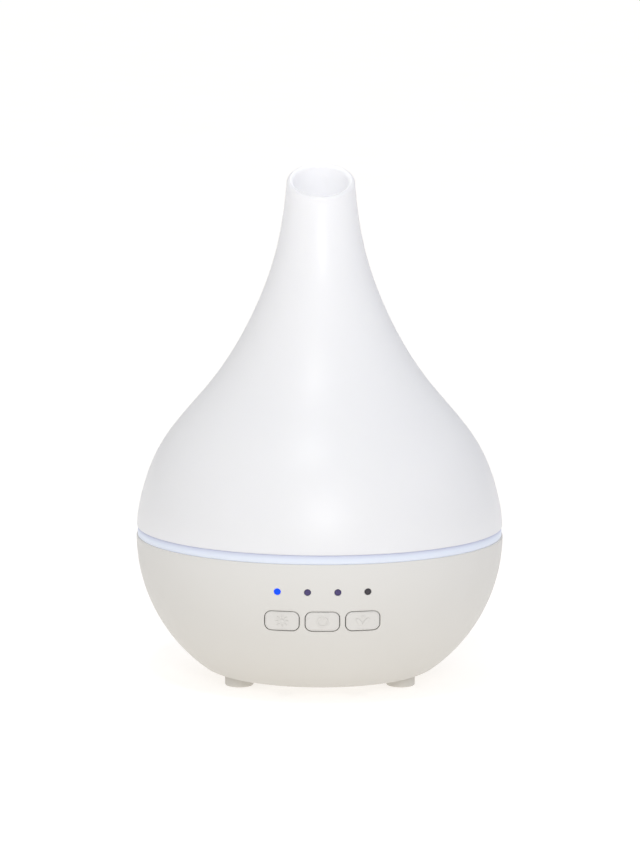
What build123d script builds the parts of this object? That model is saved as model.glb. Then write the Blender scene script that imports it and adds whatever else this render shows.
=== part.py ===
from build123d import *
import os
from math import cos, radians, sin

# Ultrasonic cool mist humidifier and aroma diffuser, vase shaped, free standing.
# Millimetres. +Z is up, and the buttons face -Y. Heights below are from a plane just under the bowl; the last
# lines raise every piece by FOOT_DROP, so that the written parts have their origin on the table.

# ---- driving dimensions ----
# The bowl's outline is a flat floor, a tight corner and one wide arc that ends upright at the rim.
BOWL_RADIUS = 84.0
BOWL_FLOOR = 1.5
BOWL_TOP = 63.8
CORNER_RADIUS = 11.0
CORNER_TURN = 36.9          # degrees
# The cover's outline as (radius, height): a dome drawn out into a neck.
COVER_POINTS = [(83.8, 67.9), (81.8, 82.0), (73.5, 104.0), (50.0, 134.0), (28.8, 170.0),
                (21.5, 190.0), (17.3, 210.0), (14.6, 238.0)]
SEAM = 67.9                 # the cover's lower edge, on top of the light ring
WALL = 2.2                  # bowl wall
COVER_WALL = 1.9            # cover wall at the seam
LIP_WALL = 3.0              # cover wall at the mouth
MOUTH_HEIGHT = 226.7        # the slanted mouth's centre
MOUTH_TILT = 24.0           # degrees, open side to the front
SKIN = 0.4                  # gap between a moving piece and its neighbour

# Three feet under the bowl's edge, one of them at the back
FOOT_DROP = 3.2             # from the plane that heights are measured from down to the table
FOOT_CIRCLE = 42.5
FOOT_RADIUS = 6.55
FOOT_EDGE = 0.3             # the moulded foot stops this far above the table, and its pad goes on
PAD_RADIUS = 4.8
PAD_HEIGHT = 1.4

# Four screws, sunk in the flat underside, that hold the tank down on the bowl
TANK_SCREW_PLACES = [(-16.0, -40.0), (16.0, -40.0), (-31.0, 31.0), (31.0, 31.0)]
TANK_SCREW_RECESS = 3.0     # radius of the sunk hole for the head
TANK_SCREW_SEAT = 7.0
TANK_SCREW_TIP = 22.0
TANK_POST_TOP = 11.4        # where the bowl's posts meet the tank's bosses
TANK_POST_RADIUS = 4.5

# Air intake: a round patch of slots under the fan
INTAKE_PLACE = (0.0, 21.5)
INTAKE_RADIUS = 12.5
SLOT_PITCH = 3.8
SLOT_WIDTH = 2.0

# Front panel: four indicators over three buttons, all square to the vertical board behind them
BUTTON_PITCH = 17.9
BUTTON_SIZE = (15.0, 9.0)
BUTTON_CORNER = 2.9
BUTTON_HEIGHT = 37.45
BUTTON_PROUD = 0.6
ICON_PROUD = 0.3
BUTTON_GAP = 0.3
BUTTON_PLACES = [-BUTTON_PITCH, 0.0, BUTTON_PITCH]
LENS_PLACES = [-20.0, -6.7, 6.7, 20.0]
LENS_HEIGHT = 51.25
LENS_RADIUS = 1.45
BOARD_FRONT = -67.4         # y of the control board's front face
BOARD_THICK = 1.4
BOARD_SIZE = (54.0, 25.0)
BOARD_HEIGHT = 44.5         # z of the control board's middle
BOARD_SCREWS = [(-23.2, 46.8), (23.2, 46.8)]
SWITCH_SIZE = 6.0
SWITCH_DEPTH = 3.5
PLUNGER_RADIUS = 1.5
PLUNGER_TIP = 4.3           # how far the plunger stands out from the board

# Tank: a tapered basin hung from a flange
TANK_WALL = 1.8
TANK_FLOOR = 30.0           # top of the basin's floor
TANK_FLOOR_RADIUS = 53.0
TANK_RIM_RADIUS = 66.5
FLANGE_TOP = 67.3
FLANGE_BOTTOM = 65.3
FLANGE_RADIUS = 80.7
UPSTAND_TOP = 71.5
DISC_PLACE = (0.0, -12.0)   # the ultrasonic disc under the basin
DISC_RADIUS = 10.0
DISC_BOTTOM = 25.6
DISC_TOP = 26.8
SEAL_RADIUS = 12.5
CLAMP_TOP = 24.2
CLAMP_EAR_TOP = 23.2
CLAMP_BOTTOM = 22.2
CLAMP_SCREW_CIRCLE = 15.6
FAN_PLACE = (0.0, 30.0)     # the fan's axis, and the air duct's above it
DUCT_RADIUS = 8.0
DUCT_OUTER = 9.8
DUCT_TOP = 62.0
GLUE_GAP = 0.1              # round the duct, in the hole of the basin's floor

# Fan
FAN_SIZE = 40.0
FAN_BOTTOM = 6.5
FAN_TOP = FAN_BOTTOM + 10.0
FAN_BORE = 18.8
FAN_HOLE_OFFSET = 16.0
HUB_RADIUS = 8.6
BLADE_RADIUS = 18.0
BLADES = 7
BLADE_PITCH = 48.0          # degrees
SHAFT_RADIUS = 1.0
SHAFT_CLEARANCE = 0.05

# Power inlet at the back
INLET_HEIGHT = 22.0
INLET_FACE = 65.0           # y of the recess's floor
INLET_RECESS = 7.0          # radius of the recess for the plug's grip
INLET_BORE = 3.15
PIN_RADIUS = 1.0
PIN_START = INLET_FACE - 9.5
PIN_END = INLET_FACE - 0.8

# Inner cover: a low dome with a chimney
SKIRT_RADIUS = 77.2
SKIRT_TOP = 74.0
CHIMNEY_RADIUS = 12.4
CHIMNEY_FOOT = 134.0
CHIMNEY_TOP = 166.0
INNER_WALL = 1.6

# Gasket groove in the light ring
GASKET_OUTER = 77.6
GASKET_INNER = 75.6
GASKET_HEIGHT = 0.8

# Main board, beside the fan, and the round board under the light ring
MAIN_BOARD_X = (-50.0, -20.5)
MAIN_BOARD_Y = (-26.0, 26.0)
MAIN_BOARD_TOP = 18.6
MAIN_BOARD_THICK = 1.6
MAIN_BOARD_HOLES = [(x, y) for x in (-46.5, -23.0) for y in (-22.0, 22.0)]
RING_BOARD_TOP = 61.6
RING_BOARD_THICK = 1.2
RING_BOARD_HOLE_CIRCLE = 72.2
RING_LAMP_PLACES = 12
RIBBON_X = (-31.8, -26.2)


# ---- shared geometry ----
def at_section(points):
    """Outline points (radius, height) as points of the XZ plane."""
    return [(r, 0, z) for r, z in points]


def section_arc(centre, radius, start, end):
    """An arc of the XZ plane about a centre, between two angles in degrees."""
    angles = [radians(a) for a in (start, (start + end) / 2, end)]
    return ThreePointArc(*[(centre[0] + radius * cos(a), 0, centre[1] + radius * sin(a)) for a in angles])


def bowl_outline(depth=0.0):
    """The bowl's outline from floor to rim, moved inwards by a depth."""
    turn = radians(CORNER_TURN)
    rise = CORNER_RADIUS * (1 - cos(turn))
    wide = (BOWL_TOP - BOWL_FLOOR - rise) / cos(turn)
    floor_radius = BOWL_RADIUS - CORNER_RADIUS * sin(turn) - wide * (1 - sin(turn))
    corner_centre = (floor_radius, BOWL_FLOOR + CORNER_RADIUS)
    wide_centre = (BOWL_RADIUS - wide, BOWL_TOP)
    return [section_arc(corner_centre, CORNER_RADIUS - depth, -90, CORNER_TURN - 90),
            section_arc(wide_centre, wide - depth, CORNER_TURN - 90, 0)]


def bowl_solid(depth=0.0):
    """Everything inside the bowl's outline at a depth, from its floor to its rim."""
    outline = bowl_outline(depth)
    low = outline[0] @ 0
    high = outline[-1] @ 1
    return turned(*outline, Polyline(high, (0, 0, high.Z), (0, 0, low.Z), low))


def cover_curve():
    return Spline(*at_section(COVER_POINTS), tangents=[(0, 0, 1), (-0.07, 0, 1)])


def inset(curve, start, end=None, steps=14):
    """The outline moved inwards by a wall thickness that may change along it."""
    end = start if end is None else end
    points = []
    for i in range(steps + 1):
        along = i / steps
        point = curve @ along
        way = curve % along
        depth = start + (end - start) * along
        points.append((point.X - way.Z * depth, 0, point.Z + way.X * depth))
    return Spline(*points, tangents=[curve % 0, curve % 1])


def turned(*edges):
    """The solid made by turning a closed section about the vertical axis."""
    return revolve(make_face([e for part in edges for e in part.edges()]), Axis.Z)


def turned_polygon(points, place=(0, 0)):
    return Pos(place[0], place[1], 0) * turned(Polyline(*at_section(points), close=True))


def disc(radius, bottom, top, place=(0, 0)):
    base = (Align.CENTER, Align.CENTER, Align.MIN)
    return Pos(place[0], place[1], bottom) * Cylinder(radius, top - bottom, align=base)


def ring(outer, inner, bottom, top, place=(0, 0)):
    return disc(outer, bottom, top, place) - disc(inner, bottom, top, place)


def block(x, y, z):
    """A box between pairs of coordinates."""
    return Pos(x[0], y[0], z[0]) * Box(x[1] - x[0], y[1] - y[0], z[1] - z[0], align=(Align.MIN,) * 3)


def bar(sketch, back, front):
    """A sketch in x and z, drawn out along Y from back to front, the lower y."""
    return extrude(Plane.XZ.offset(-back) * sketch, back - front)


def rod(radius, back, front, x, z):
    return bar(Pos(x, z) * Circle(radius), back, front)


def around(count, radius, start=0.0, centre=(0, 0)):
    """Places evenly spaced on a circle."""
    angles = [radians(start + 360 * i / count) for i in range(count)]
    return [(centre[0] + radius * cos(a), centre[1] + radius * sin(a)) for a in angles]


def corners(offset_x, offset_y, centre=(0, 0)):
    signs = [(-1, -1), (1, -1), (-1, 1), (1, 1)]
    return [(centre[0] + sx * offset_x, centre[1] + sy * offset_y) for sx, sy in signs]


def screw(place, head_bottom, seat, tip, head_radius=2.8, shank_radius=1.45):
    """A pan head screw driven upwards, with a cross recess in its head."""
    head = fillet(disc(head_radius, head_bottom, seat, place).edges().sort_by(Axis.Z)[0], 0.6)
    slot = 0.35 * head_radius
    recess = block((-slot, slot), (-0.35, 0.35), (0, 1.1)) + block((-0.35, 0.35), (-slot, slot), (0, 1.1))
    shank = disc(shank_radius, seat, tip, place)
    return head + shank - Pos(place[0], place[1], head_bottom) * recess


# ---- outer shells ----
def outer_cover():
    """Translucent dome and neck, cut off at a slant for the mist's mouth, with a rounded lip."""
    outside = cover_curve()
    inside = inset(outside, COVER_WALL, LIP_WALL)
    foot_line = Line(inside @ 0, outside @ 0)
    head_line = Line(outside @ 1, inside @ 1)
    shell = turned(outside, head_line, inside, foot_line)
    tilt = radians(MOUTH_TILT)
    mouth = Plane(origin=(0, 0, MOUTH_HEIGHT), x_dir=(1, 0, 0), z_dir=(0, -sin(tilt), cos(tilt)))
    shell = split(shell, bisect_by=mouth, keep=Keep.BOTTOM)
    lip = [e for e in shell.edges() if abs(mouth.to_local_coords(e.center()).Z) < 0.05]
    shell = fillet(lip, 1.3)
    rim = shell.edges().group_by(Axis.Z)[0]
    return fillet(rim, 0.5)


def light_ring():
    """Frosted band between bowl and cover: it carries the tank's flange and spreads the light."""
    section = [(74.5, BOWL_TOP), (83.5, BOWL_TOP), (83.5, SEAM), (81.1, SEAM),
               (81.1, FLANGE_BOTTOM), (74.5, FLANGE_BOTTOM)]
    return turned_polygon(section) - rim_gasket()


def rim_gasket():
    return ring(GASKET_OUTER, GASKET_INNER, FLANGE_BOTTOM - GASKET_HEIGHT, FLANGE_BOTTOM)


def button_opening(x):
    width = BUTTON_SIZE[0] + 2 * BUTTON_GAP
    height = BUTTON_SIZE[1] + 2 * BUTTON_GAP
    outline = Pos(x, BUTTON_HEIGHT) * RectangleRounded(width, height, BUTTON_CORNER + BUTTON_GAP)
    return bar(outline, -60, -90)


def intake_slots():
    """Parallel slots with round ends, within a circle under the fan."""
    slots = []
    for i in range(-3, 4):
        x = SLOT_PITCH * i
        length = 2 * (INTAKE_RADIUS**2 - x**2) ** 0.5
        outline = Rot(0, 0, 90) * SlotOverall(length, SLOT_WIDTH)
        outline = Pos(INTAKE_PLACE[0] + x, INTAKE_PLACE[1]) * outline
        slots.append(Pos(0, 0, -5) * extrude(outline, 15))
    return slots


def foot_places():
    return around(3, FOOT_CIRCLE, 90)


def ring_board_holes():
    return around(4, RING_BOARD_HOLE_CIRCLE, 45)


def base_shell():
    """Bowl with three feet, button and indicator openings, air intake and a recess for the plug."""
    body = bowl_solid()
    shell = body - bowl_solid(WALL)
    for place in foot_places():
        foot = disc(FOOT_RADIUS, FOOT_EDGE - FOOT_DROP, BOWL_FLOOR + WALL / 2, place)
        shell += fillet(foot.edges().sort_by(Axis.Z)[0], 0.9)
        shell -= disc(PAD_RADIUS + 0.1, -FOOT_DROP, PAD_HEIGHT - FOOT_DROP, place)
    for place in TANK_SCREW_PLACES:
        shell += disc(TANK_POST_RADIUS, BOWL_FLOOR, TANK_POST_TOP, place) & body
        shell -= disc(TANK_SCREW_RECESS, 0, TANK_SCREW_SEAT, place)
        shell -= disc(1.7, 0, TANK_POST_TOP, place)
    # recess for the plug, and the hole for the socket's collar in its floor
    shell += rod(INLET_RECESS + 2.0, 90, INLET_FACE - WALL, 0, INLET_HEIGHT) & body
    shell -= rod(INLET_RECESS, 90, INLET_FACE, 0, INLET_HEIGHT)
    shell -= rod(4.7, 90, INLET_FACE - 5, 0, INLET_HEIGHT)
    # bosses for the control board
    for x, z in BOARD_SCREWS:
        shell += rod(2.6, BOARD_FRONT, -84, x, z) & body
        shell -= rod(1.15, BOARD_FRONT, BOARD_FRONT - 7, x, z)
    for x in BUTTON_PLACES:
        shell -= button_opening(x)
    for x in LENS_PLACES:
        shell -= rod(LENS_RADIUS + 0.1, -60, -90, x, LENS_HEIGHT)
    for slot in intake_slots():
        shell -= slot
    return shell


def foot_pads():
    return [disc(PAD_RADIUS, -FOOT_DROP, PAD_HEIGHT - FOOT_DROP, place) for place in foot_places()]


# ---- front panel ----
def light_icon():
    """A dot with eight rays."""
    icon = Circle(0.9)
    for i in range(8):
        icon += Rot(0, 0, 45 * i) * Pos(2.3, 0) * Rectangle(1.3, 0.5)
    return icon


def power_icon():
    """A ring open at the top with a short stroke in the opening."""
    gap = Pos(0, 2) * Rectangle(1.9, 3)
    return Circle(2.5) - Circle(1.95) - gap + Pos(0, 1.7) * Rectangle(0.55, 2.6)


def mist_icon():
    """Two leaves that open upwards, with a small drop between them."""
    leaf = Pos(-1.55, -0.2) * Rot(0, 0, -40) * Ellipse(0.85, 2.2)
    drop = Pos(0, 1.9) * Rot(0, 0, 45) * Rectangle(1.1, 1.1)
    return leaf + mirror(leaf, Plane.YZ) + drop


def button(x, icon):
    """A cap that follows the bowl's face, with a flange behind the wall, a stem and a raised icon."""
    face = bowl_solid(-BUTTON_PROUD)
    place = Pos(x, BUTTON_HEIGHT)
    width, height = BUTTON_SIZE
    cap = bar(place * RectangleRounded(width, height, BUTTON_CORNER), -60, -90) & face
    cap -= bowl_solid(WALL + 0.9)
    flange = bar(place * RectangleRounded(width + 1.9, height + 2.2, BUTTON_CORNER + 1), -60, -90)
    flange &= bowl_solid(WALL + SKIN)
    flange -= bowl_solid(WALL + SKIN + 0.8)
    stem = rod(2.0, BOARD_FRONT - PLUNGER_TIP, -90, x, BUTTON_HEIGHT) & bowl_solid(WALL + 0.5)
    relief = bar(place * icon, -60, -90) & bowl_solid(-BUTTON_PROUD - ICON_PROUD)
    relief -= bowl_solid(0.5)
    return cap + flange + stem + relief


def switch_plunger(x):
    return rod(PLUNGER_RADIUS, BOARD_FRONT - 2.1, BOARD_FRONT - PLUNGER_TIP, x, BUTTON_HEIGHT)


def tact_switches():
    """Three square push switches on the control board, each open for its plunger."""
    switches = []
    for x in BUTTON_PLACES:
        outline = Pos(x, BUTTON_HEIGHT) * RectangleRounded(SWITCH_SIZE, SWITCH_SIZE, 0.5)
        case = bar(outline, BOARD_FRONT, BOARD_FRONT - SWITCH_DEPTH)
        bore = rod(PLUNGER_RADIUS + 0.3, BOARD_FRONT - 1.4, BOARD_FRONT - 5, x, BUTTON_HEIGHT)
        switches.append(case - bore)
    return switches


def control_board():
    outline = Pos(0, BOARD_HEIGHT) * RectangleRounded(*BOARD_SIZE, 1.0)
    board = bar(outline, BOARD_FRONT + BOARD_THICK, BOARD_FRONT)
    for x, z in BOARD_SCREWS:
        board -= rod(1.25, BOARD_FRONT + 5, BOARD_FRONT - 5, x, z)
    return board


def control_board_screws():
    screws = []
    back = BOARD_FRONT + BOARD_THICK
    for x, z in BOARD_SCREWS:
        head = rod(2.0, back + 1.5, back, x, z)
        recess = bar(Pos(x, z) * (Rectangle(1.8, 0.5) + Rectangle(0.5, 1.8)), back + 2, back + 0.7)
        screws.append(head + rod(1.1, back, BOARD_FRONT - 6, x, z) - recess)
    return screws


def indicator_lens(x):
    """A light pipe from the indicator's lamp to just under the bowl's face."""
    pipe = rod(LENS_RADIUS, BOARD_FRONT - 1.6, -90, x, LENS_HEIGHT)
    return pipe & bowl_solid(0.15)


def indicator_lamps():
    """Four surface lamps on the control board, one behind each light pipe."""
    half = 1.5
    return [block((x - half, x + half), (BOARD_FRONT - 1.5, BOARD_FRONT), (LENS_HEIGHT - 1, LENS_HEIGHT + 1))
            for x in LENS_PLACES]


# ---- water tank and what hangs under it ----
def tank_hollow():
    wall = (TANK_FLOOR_RADIUS, 0, TANK_FLOOR)
    rim = (TANK_RIM_RADIUS, 0, FLANGE_TOP)
    side = FilletPolyline((0, 0, TANK_FLOOR), wall, rim, radius=9)
    return turned(side, Polyline(rim, (TANK_RIM_RADIUS, 0, 80), (0, 0, 80), (0, 0, TANK_FLOOR)))


def tank_body():
    """The tank's full outer shape: basin, flange and the upstand inside the cover's edge."""
    bottom = TANK_FLOOR - TANK_WALL
    slope = (TANK_RIM_RADIUS - TANK_FLOOR_RADIUS) / (FLANGE_TOP - TANK_FLOOR)
    low = TANK_FLOOR_RADIUS + 1.3
    high = low + slope * (FLANGE_BOTTOM - bottom)
    side = FilletPolyline((0, 0, bottom), (low, 0, bottom), (high, 0, FLANGE_BOTTOM), radius=10)
    upstand = FLANGE_RADIUS - 1.7
    top = Polyline((high, 0, FLANGE_BOTTOM), (FLANGE_RADIUS, 0, FLANGE_BOTTOM),
                   (FLANGE_RADIUS, 0, UPSTAND_TOP), (upstand, 0, UPSTAND_TOP),
                   (upstand, 0, FLANGE_TOP), (0, 0, FLANGE_TOP), (0, 0, bottom))
    return turned(side, top)


def water_tank():
    """Basin with flange, disc seat, a hole for the air duct, and the bosses of what hangs under it."""
    bottom = TANK_FLOOR - TANK_WALL
    tank = tank_body()
    for place in TANK_SCREW_PLACES:
        tank += disc(3.6, TANK_POST_TOP, 36, place) - disc(1.5, TANK_POST_TOP, 24, place)
    for place in corners(FAN_HOLE_OFFSET, FAN_HOLE_OFFSET, FAN_PLACE):
        tank += disc(2.5, FAN_TOP, 31, place) - disc(1.3, FAN_TOP, 24, place)
    for place in MAIN_BOARD_HOLES:
        tank += disc(2.4, MAIN_BOARD_TOP, 32, place) - disc(1.1, MAIN_BOARD_TOP, 25, place)
    for place in ring_board_holes():
        tank += disc(2.0, RING_BOARD_TOP, FLANGE_BOTTOM, place) - disc(1.0, 60, 64.5, place)
    tank -= tank_hollow()
    tank += ring(SEAL_RADIUS + 2.1, SEAL_RADIUS + 0.1, CLAMP_EAR_TOP, bottom, DISC_PLACE)
    tank -= disc(DISC_RADIUS - 1.5, 20, 40, DISC_PLACE)
    return tank - disc(DUCT_OUTER + GLUE_GAP, 20, 40, FAN_PLACE)


def air_duct():
    """Tube glued in a hole of the basin's floor, with a collar on it; it brings air above the water."""
    tube = disc(DUCT_OUTER, TANK_FLOOR - TANK_WALL, DUCT_TOP, FAN_PLACE)
    tube = fillet(tube.edges().sort_by(Axis.Z)[-1], 0.8)
    tube += disc(DUCT_OUTER + 2.2, TANK_FLOOR, TANK_FLOOR + 1.6, FAN_PLACE)
    return tube - disc(DUCT_RADIUS, 20, 80, FAN_PLACE)


def tank_screws():
    head_bottom = TANK_SCREW_SEAT - 2.0
    return [screw(place, head_bottom, TANK_SCREW_SEAT, TANK_SCREW_TIP) for place in TANK_SCREW_PLACES]


def piezo_disc():
    """The ultrasonic disc, with its electrode as a low round step on its underside."""
    electrode = disc(DISC_RADIUS - 3, DISC_BOTTOM - 0.3, DISC_BOTTOM, DISC_PLACE)
    return disc(DISC_RADIUS, DISC_BOTTOM, DISC_TOP, DISC_PLACE) + electrode


def disc_seal():
    """Soft ring folded round the disc's edge, pressed against the underside of the basin."""
    seal = ring(SEAL_RADIUS, DISC_RADIUS - 1.4, CLAMP_TOP, TANK_FLOOR - TANK_WALL, DISC_PLACE)
    return seal - disc(DISC_RADIUS, DISC_BOTTOM, DISC_TOP, DISC_PLACE)


def clamp_screw_places():
    return around(3, CLAMP_SCREW_CIRCLE, 90, DISC_PLACE)


def disc_clamp():
    """Metal ring with a flange for three screws, that holds the seal and the disc up to the tank."""
    clamp = ring(SEAL_RADIUS - 0.1, 7.6, CLAMP_EAR_TOP, CLAMP_TOP, DISC_PLACE)
    clamp += ring(CLAMP_SCREW_CIRCLE + 1.9, 7.6, CLAMP_BOTTOM, CLAMP_EAR_TOP, DISC_PLACE)
    for place in clamp_screw_places():
        clamp -= disc(1.2, 20, 25, place)
    return clamp


def clamp_posts():
    top = TANK_FLOOR - TANK_WALL
    return [ring(2.0, 1.0, CLAMP_EAR_TOP, top, place) for place in clamp_screw_places()]


def clamp_screws():
    head = CLAMP_BOTTOM - 1.4
    return [screw(place, head, CLAMP_BOTTOM, 26.5, 1.9, 0.95) for place in clamp_screw_places()]


# ---- fan ----
def fan_frame():
    """Square frame, round bore, four struts and a bearing tube in the middle."""
    top = extrude(Pos(*FAN_PLACE) * RectangleRounded(FAN_SIZE, FAN_SIZE, 2.5), FAN_TOP - FAN_BOTTOM)
    frame = Pos(0, 0, FAN_BOTTOM) * top - disc(FAN_BORE, 0, 30, FAN_PLACE)
    struts = Rectangle(2 * FAN_BORE + 0.6, 2.2) + Rectangle(2.2, 2 * FAN_BORE + 0.6)
    frame += Pos(FAN_PLACE[0], FAN_PLACE[1], FAN_BOTTOM) * extrude(Rot(0, 0, 45) * struts, 1.5)
    frame += disc(8.5, FAN_BOTTOM, FAN_BOTTOM + 1.5, FAN_PLACE)
    frame += disc(2.6, FAN_BOTTOM, FAN_BOTTOM + 6.5, FAN_PLACE)
    frame -= disc(SHAFT_RADIUS + SHAFT_CLEARANCE, FAN_BOTTOM + 0.5, 20, FAN_PLACE)
    for place in corners(FAN_HOLE_OFFSET, FAN_HOLE_OFFSET, FAN_PLACE):
        frame -= disc(1.7, 0, 20, place)
    return frame


def fan_coil():
    """The motor's winding round the bearing tube."""
    return ring(6.4, 2.6, FAN_BOTTOM + 2.2, FAN_BOTTOM + 6.2, FAN_PLACE)


def fan_rotor():
    """Cup with a shaft in the middle and pitched blades round it."""
    rotor = disc(HUB_RADIUS, 2.2, 9.4) - disc(HUB_RADIUS - 1.4, 2.2, 7.8)
    rotor += disc(SHAFT_RADIUS, 1.0, 8.0)
    sweep = ring(BLADE_RADIUS, HUB_RADIUS - 0.3, 2.4, 9.2)
    for i in range(BLADES):
        blade = Pos(13, 0, 5.8) * Rot(BLADE_PITCH, 0, 0) * Box(11, 1.0, 9.5)
        rotor += (Rot(0, 0, 360 * i / BLADES) * blade) & sweep
    return Pos(FAN_PLACE[0], FAN_PLACE[1], FAN_BOTTOM) * rotor


def fan_screws():
    places = corners(FAN_HOLE_OFFSET, FAN_HOLE_OFFSET, FAN_PLACE)
    return [screw(place, FAN_BOTTOM - 1.1, FAN_BOTTOM, 22.0, 2.4, 1.25) for place in places]


def air_guide():
    """Funnel from the fan up to the air duct."""
    top = TANK_FLOOR - TANK_WALL
    skirt = FAN_TOP + 2
    section = [(19.5, FAN_TOP), (19.5, skirt), (9.7, top), (8.2, top), (18.1, skirt), (18.1, FAN_TOP)]
    return turned_polygon(section, FAN_PLACE)


# ---- electronics ----
def main_board():
    board = block(MAIN_BOARD_X, MAIN_BOARD_Y, (MAIN_BOARD_TOP - MAIN_BOARD_THICK, MAIN_BOARD_TOP))
    for place in MAIN_BOARD_HOLES:
        board -= disc(1.2, 0, 30, place)
    return board


def main_board_screws():
    low = MAIN_BOARD_TOP - MAIN_BOARD_THICK
    return [screw(place, low - 1.6, low, 24.0, 2.1, 1.05) for place in MAIN_BOARD_HOLES]


def heat_sink():
    """Extruded aluminium sink with upright fins, for the driver transistor."""
    sink = block((-48, -44.5), (-14, 8), (MAIN_BOARD_TOP, 26.0))
    for i in range(5):
        y = -14 + 5.125 * i
        sink += block((-44.5, -40.5), (y, y + 1.5), (MAIN_BOARD_TOP, 26.0))
    return sink


def driver_coils():
    """Two wound inductors of the disc's drive circuit."""
    coils = []
    for place in [(-32.0, -8.0), (-32.0, 6.0)]:
        coil = disc(5.0, MAIN_BOARD_TOP, 20.0, place) + disc(3.6, 20.0, 24.6, place)
        coils.append(coil + disc(5.0, 24.6, 26.0, place))
    return coils


def capacitors():
    places = [(-38.5, 14.0), (-30.5, 16.0), (-25.0, -14.0)]
    return [disc(2.6, MAIN_BOARD_TOP, 26.4, place) for place in places]


def ring_board():
    """Round board under the light ring."""
    board = ring(79.6, 70.2, RING_BOARD_TOP - RING_BOARD_THICK, RING_BOARD_TOP)
    for place in ring_board_holes():
        board -= disc(1.1, 50, 70, place)
    return board


def ring_board_screws():
    low = RING_BOARD_TOP - RING_BOARD_THICK
    return [screw(place, low - 1.3, low, 63.8, 1.7, 0.9) for place in ring_board_holes()]


def ring_lamps():
    lamps = []
    for i in range(RING_LAMP_PLACES):
        lamp = block((75.2, 78.7), (-1.75, 1.75), (RING_BOARD_TOP, RING_BOARD_TOP + 1.6))
        lamps.append(Rot(0, 0, 15 + 360 * i / RING_LAMP_PLACES) * lamp)
    return lamps


def board_connectors():
    """A header on each board for the ribbon between them."""
    back = BOARD_FRONT + BOARD_THICK
    width = (RIBBON_X[0] - 0.6, RIBBON_X[1] + 0.6)
    return [block(width, (back, back + 3.5), (38.0, 42.0)),
            block(width, (-26.0, -22.0), (MAIN_BOARD_TOP, MAIN_BOARD_TOP + 4))]


def control_ribbon():
    """Flat cable from the control board's header down to the main board's."""
    middle_y = BOARD_FRONT + BOARD_THICK + 1.75
    header = MAIN_BOARD_TOP + 2.0
    half = 0.35
    outer = [(middle_y - half, 38.0), (middle_y - half, 29.0), (-45.0, header - half), (-26.0, header - half)]
    inner = [(-26.0, header + half), (-44.8, header + half), (middle_y + half, 29.3), (middle_y + half, 38.0)]
    side = make_face(Polyline(*[(RIBBON_X[0], y, z) for y, z in outer + inner], close=True))
    return extrude(side, RIBBON_X[1] - RIBBON_X[0], dir=(1, 0, 0))


def dc_jack():
    """Socket body behind the wall, with a round collar in the recess's floor."""
    front = INLET_FACE - 4.2
    jack = block((-4.5, 4.5), (INLET_FACE - 15.5, front), (INLET_HEIGHT - 4.5, INLET_HEIGHT + 5.0))
    jack += rod(4.4, INLET_FACE, front, 0, INLET_HEIGHT)
    jack -= rod(INLET_BORE, 90, PIN_START, 0, INLET_HEIGHT)
    return jack - rod(1.6, PIN_START, INLET_FACE - 17, 0, INLET_HEIGHT)


def dc_pin():
    """The socket's centre pin, thicker where it sits in the socket's rear wall."""
    tip = rod(PIN_RADIUS, PIN_END, PIN_START, 0, INLET_HEIGHT)
    tip = fillet(tip.edges().sort_by(Axis.Y)[-1], 0.25)
    return tip + rod(1.6, PIN_START, INLET_FACE - 17, 0, INLET_HEIGHT)


# ---- inner cover ----
def inner_cover():
    """Low dome that keeps the water in, with a chimney that leads the mist to the neck."""
    foot = (SKIRT_RADIUS, 0, FLANGE_TOP)
    shoulder = (SKIRT_RADIUS, 0, SKIRT_TOP)
    throat = (CHIMNEY_RADIUS + 0.4, 0, CHIMNEY_FOOT)
    top_radius = CHIMNEY_RADIUS - 0.6
    skirt = Line(foot, shoulder)
    dome = Spline(shoulder, (68.0, 0, 92.0), (40.0, 0, 110.0), throat, tangents=[(0, 0, 1), (-0.04, 0, 1)])
    chimney = Line(throat, (top_radius, 0, CHIMNEY_TOP))
    inner_dome = inset(dome, INNER_WALL)
    low = inner_dome @ 0
    high = inner_dome @ 1
    inside = [Line((low.X, 0, FLANGE_TOP), low), inner_dome,
              Line(high, (top_radius - INNER_WALL, 0, CHIMNEY_TOP))]
    ends = [Line(foot, (low.X, 0, FLANGE_TOP)),
            Line((top_radius, 0, CHIMNEY_TOP), (top_radius - INNER_WALL, 0, CHIMNEY_TOP))]
    return turned(skirt, dome, chimney, *inside, *ends)


# ---- write one STEP per node ----
PARTS = {
    "outer_cover": outer_cover(),
    "inner_cover": inner_cover(),
    "light_ring": light_ring(),
    "rim_gasket": rim_gasket(),
    "base_shell": base_shell(),
    "foot_pads": foot_pads(),
    "water_tank": water_tank() + clamp_posts(),
    "air_duct": air_duct(),
    "tank_screws": tank_screws(),
    "piezo_disc": piezo_disc(),
    "disc_seal": disc_seal(),
    "disc_clamp": disc_clamp(),
    "clamp_screws": clamp_screws(),
    "fan_frame": fan_frame(),
    "fan_coil": fan_coil(),
    "fan_rotor": fan_rotor(),
    "fan_screws": fan_screws(),
    "air_guide": air_guide(),
    "button_light": button(BUTTON_PLACES[0], light_icon()),
    "button_power": button(BUTTON_PLACES[1], power_icon()),
    "button_mist": button(BUTTON_PLACES[2], mist_icon()),
    "plunger_light": switch_plunger(BUTTON_PLACES[0]),
    "plunger_power": switch_plunger(BUTTON_PLACES[1]),
    "plunger_mist": switch_plunger(BUTTON_PLACES[2]),
    "tact_switches": tact_switches(),
    "control_board": control_board(),
    "control_board_screws": control_board_screws(),
    "indicator_lamps": indicator_lamps(),
    "main_board": main_board(),
    "main_board_screws": main_board_screws(),
    "heat_sink": heat_sink(),
    "driver_coils": driver_coils(),
    "capacitors": capacitors(),
    "ring_board": ring_board(),
    "ring_board_screws": ring_board_screws(),
    "ring_lamps": ring_lamps(),
    "board_connectors": board_connectors(),
    "control_ribbon": control_ribbon(),
    "dc_jack": dc_jack(),
    "dc_pin": dc_pin(),
}
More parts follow.
